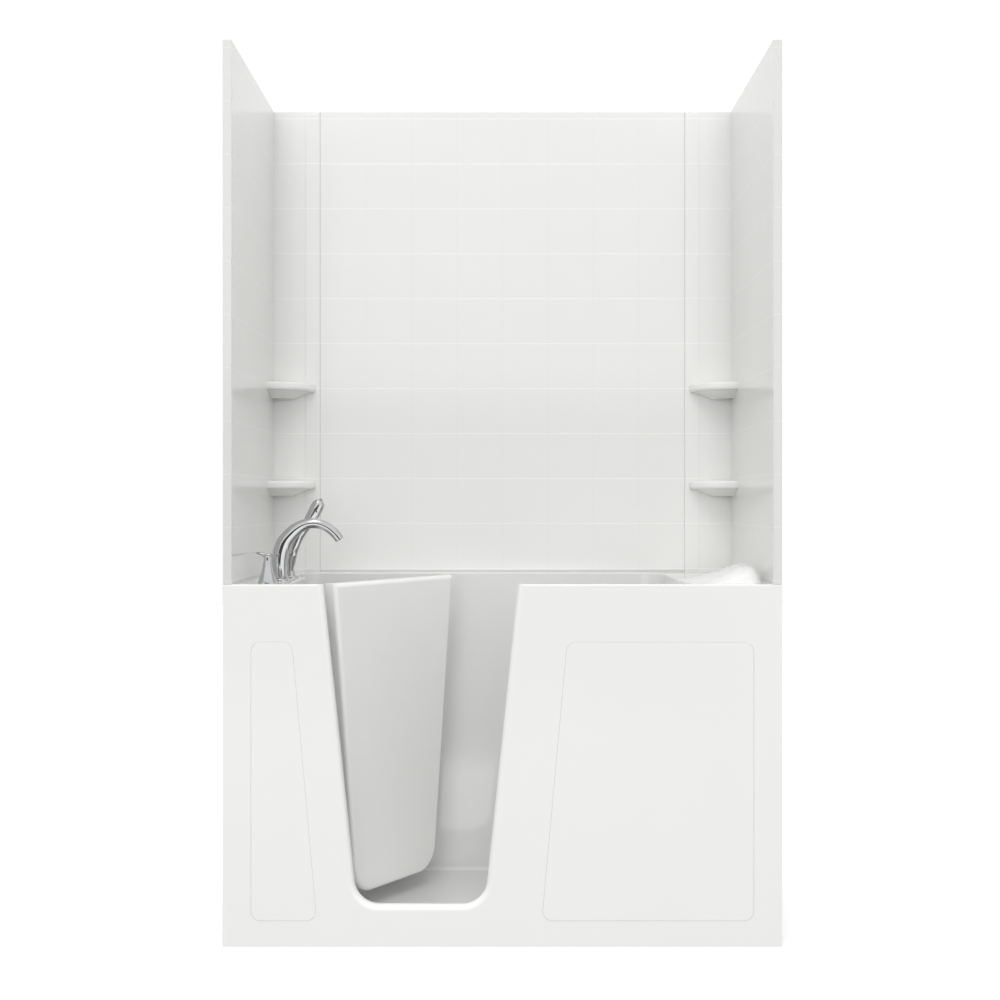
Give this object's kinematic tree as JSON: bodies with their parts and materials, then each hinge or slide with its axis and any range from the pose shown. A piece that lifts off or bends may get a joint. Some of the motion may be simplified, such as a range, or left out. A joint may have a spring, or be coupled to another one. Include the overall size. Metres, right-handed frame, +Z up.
{
  "type": "walk-in jetted bathtub",
  "caption": "Alcove walk-in jetted bath with an inward-swinging door, tiled wall surround with corner shelves, arched filler set and jets.",
  "frame": {"origin": "bottom centre of the bounding box, on the floor", "axes": "+X to the right seen from the front, +Y from the front apron to the back wall, +Z up"},
  "size_m": [1.524, 0.7112, 2.47],
  "materials": {
    "wall_gloss": "glossy moulded acrylic with a square tile relief",
    "sealant": "satin white sealant",
    "apron_gloss": "gloss white, faint orange peel",
    "tub_gloss": "gloss white moulded acrylic",
    "door_gloss": "gloss white moulded acrylic",
    "foam": "rigid foam",
    "gasket": "soft pale gasket",
    "chrome": "polished chrome",
    "stainless": "brushed stainless",
    "white_trim": "gloss white trim",
    "head_rest": "smooth gloss white",
    "black_plastic": "black moulded plastic",
    "pvc": "white pipe",
    "motor_paint": "dark satin paint",
    "frame_steel": "grey powder coat",
    "feet": "black moulded foot, plated stud and nut",
    "brass": "machined brass",
    "copper": "bright copper pipe",
    "heater": "dark grey moulding",
    "bezel": "pale grey gloss",
    "control_box": "light grey moulding"
  },
  "bodies": {
    "tub": {"left_wall_panel": "wall_gloss", "right_wall_panel": "wall_gloss", "back_wall_panel": "wall_gloss", "left_corner_panel": "wall_gloss", "right_corner_panel": "wall_gloss", "surround_sealant": "sealant", "front_apron": "apron_gloss", "left_access_panel": "apron_gloss", "right_access_panel": "apron_gloss", "head_rest": "head_rest", "jet_fittings": "white_trim", "suction_fitting": "white_trim", "drain_body": "chrome", "waste_and_overflow": "black_plastic", "overflow_plate": "chrome", "door_gasket": "gasket", "hinge_frame_leaves": "stainless", "hinge_pins": "stainless", "hinge_frame_screws": "stainless", "latch_base": "chrome", "spout": "chrome", "filler_bases": "chrome", "shower_holder": "chrome", "valve_bodies": "brass", "supply_pipes": "copper", "pump_housing": "black_plastic", "pump_motor": "motor_paint", "pump_bearings": "stainless", "pump_base": "black_plastic", "inline_heater": "heater", "water_manifold": "pvc", "blower_housing": "black_plastic", "air_manifold": "pvc", "control_bezel": "bezel", "grab_bar": "chrome", "control_box": "control_box", "support_frame": "frame_steel", "levelling_feet": "feet", "tub_shell": "tub_gloss"},
    "door": {"door_outer_shell": "door_gloss", "door_inner_shell": "door_gloss", "door_core": "foam", "hinge_door_leaves": "stainless", "hinge_door_screws": "stainless"},
    "latch": {"latch_lever": "chrome"},
    "hot_lever": {"hot_handle": "chrome"},
    "cold_lever": {"cold_handle": "chrome"},
    "diverter": {"diverter_knob": "chrome"},
    "shower": {"hand_shower": "chrome"},
    "nozzle_1": {"jet_nozzle_1": "white_trim"},
    "nozzle_2": {"jet_nozzle_2": "white_trim"},
    "nozzle_3": {"jet_nozzle_3": "white_trim"},
    "nozzle_4": {"jet_nozzle_4": "white_trim"},
    "rotor": {"pump_rotor": "stainless"},
    "fan": {"blower_fan": "black_plastic"},
    "overflow_turn": {"overflow_knob": "chrome"},
    "stopper": {"drain_stopper": "chrome"},
    "air_knob": {"air_control_knob": "chrome"},
    "pump_push": {"pump_button": "white_trim"},
    "blower_push": {"blower_button": "white_trim"}
  },
  "joints": [
    {"name": "door_swing", "type": "hinge", "parent": "tub", "child": "door", "pos_m": [-0.506, -0.2776, 0.5], "axis": [0, 0, 1], "range_deg": [-55.5, 34.5]},
    {"name": "latch_turn", "type": "hinge", "parent": "tub", "child": "latch", "pos_m": [0.052, -0.2696, 0.7], "axis": [0, 1, 0], "range_deg": [-90, 0]},
    {"name": "hot_turn", "type": "hinge", "parent": "tub", "child": "hot_lever", "pos_m": [-0.653, -0.2756, 1.055], "axis": [0, 0, 1], "range_deg": [0, 90]},
    {"name": "cold_turn", "type": "hinge", "parent": "tub", "child": "cold_lever", "pos_m": [-0.653, -0.0656, 1.055], "axis": [0, 0, 1], "range_deg": [-90, 0]},
    {"name": "diverter_lift", "type": "slide", "parent": "tub", "child": "diverter", "axis": [0, 0, 1], "range_m": [0, 0.01]},
    {"name": "shower_lift", "type": "slide", "parent": "tub", "child": "shower", "axis": [0, 0, 1], "range_m": [0, 0.15]},
    {"name": "nozzle_1_turn", "type": "hinge", "parent": "tub", "child": "nozzle_1", "pos_m": [0.48119, -0.1256, 0.64], "axis": [-0.9977, 0, 0.0685], "range_deg": [-90, 90]},
    {"name": "nozzle_2_turn", "type": "hinge", "parent": "tub", "child": "nozzle_2", "pos_m": [0.48119, 0.0744, 0.64], "axis": [-0.9977, 0, 0.0685], "range_deg": [-90, 90]},
    {"name": "nozzle_3_turn", "type": "hinge", "parent": "tub", "child": "nozzle_3", "pos_m": [0.08411, -0.1256, 0.27], "axis": [-0.9996, 0, 0.0284], "range_deg": [-90, 90]},
    {"name": "nozzle_4_turn", "type": "hinge", "parent": "tub", "child": "nozzle_4", "pos_m": [0.08411, 0.0744, 0.27], "axis": [-0.9996, 0, 0.0284], "range_deg": [-90, 90]},
    {"name": "pump_spin", "type": "hinge", "parent": "tub", "child": "rotor", "pos_m": [0.4, -0.0256, 0.13], "axis": [1, 0, 0], "continuous": true},
    {"name": "fan_spin", "type": "hinge", "parent": "tub", "child": "fan", "pos_m": [0.64, -0.0256, 0.64], "axis": [1, 0, 0], "continuous": true},
    {"name": "overflow_turn", "type": "hinge", "parent": "tub", "child": "overflow_turn", "pos_m": [-0.62364, 0.0444, 0.88], "axis": [0.9992, 0, 0.0407], "range_deg": [0, 90]},
    {"name": "stopper_lift", "type": "slide", "parent": "tub", "child": "stopper", "axis": [0, 0, 1], "range_m": [0, 0.01]},
    {"name": "air_turn", "type": "hinge", "parent": "tub", "child": "air_knob", "pos_m": [0.215, -0.3196, 0.8], "axis": [0, 1, 0], "range_deg": [0, 180]},
    {"name": "pump_press", "type": "slide", "parent": "tub", "child": "pump_push", "axis": [0, -1, 0], "range_m": [0, 0.003], "stiffness_N_per_m": 200},
    {"name": "blower_press", "type": "slide", "parent": "tub", "child": "blower_push", "axis": [0, -1, 0], "range_m": [0, 0.003], "stiffness_N_per_m": 200}
  ],
  "couplings": [
    {"joint": "stopper_lift", "follows": "overflow_turn", "m_per_rad": 0.006366}
  ]
}
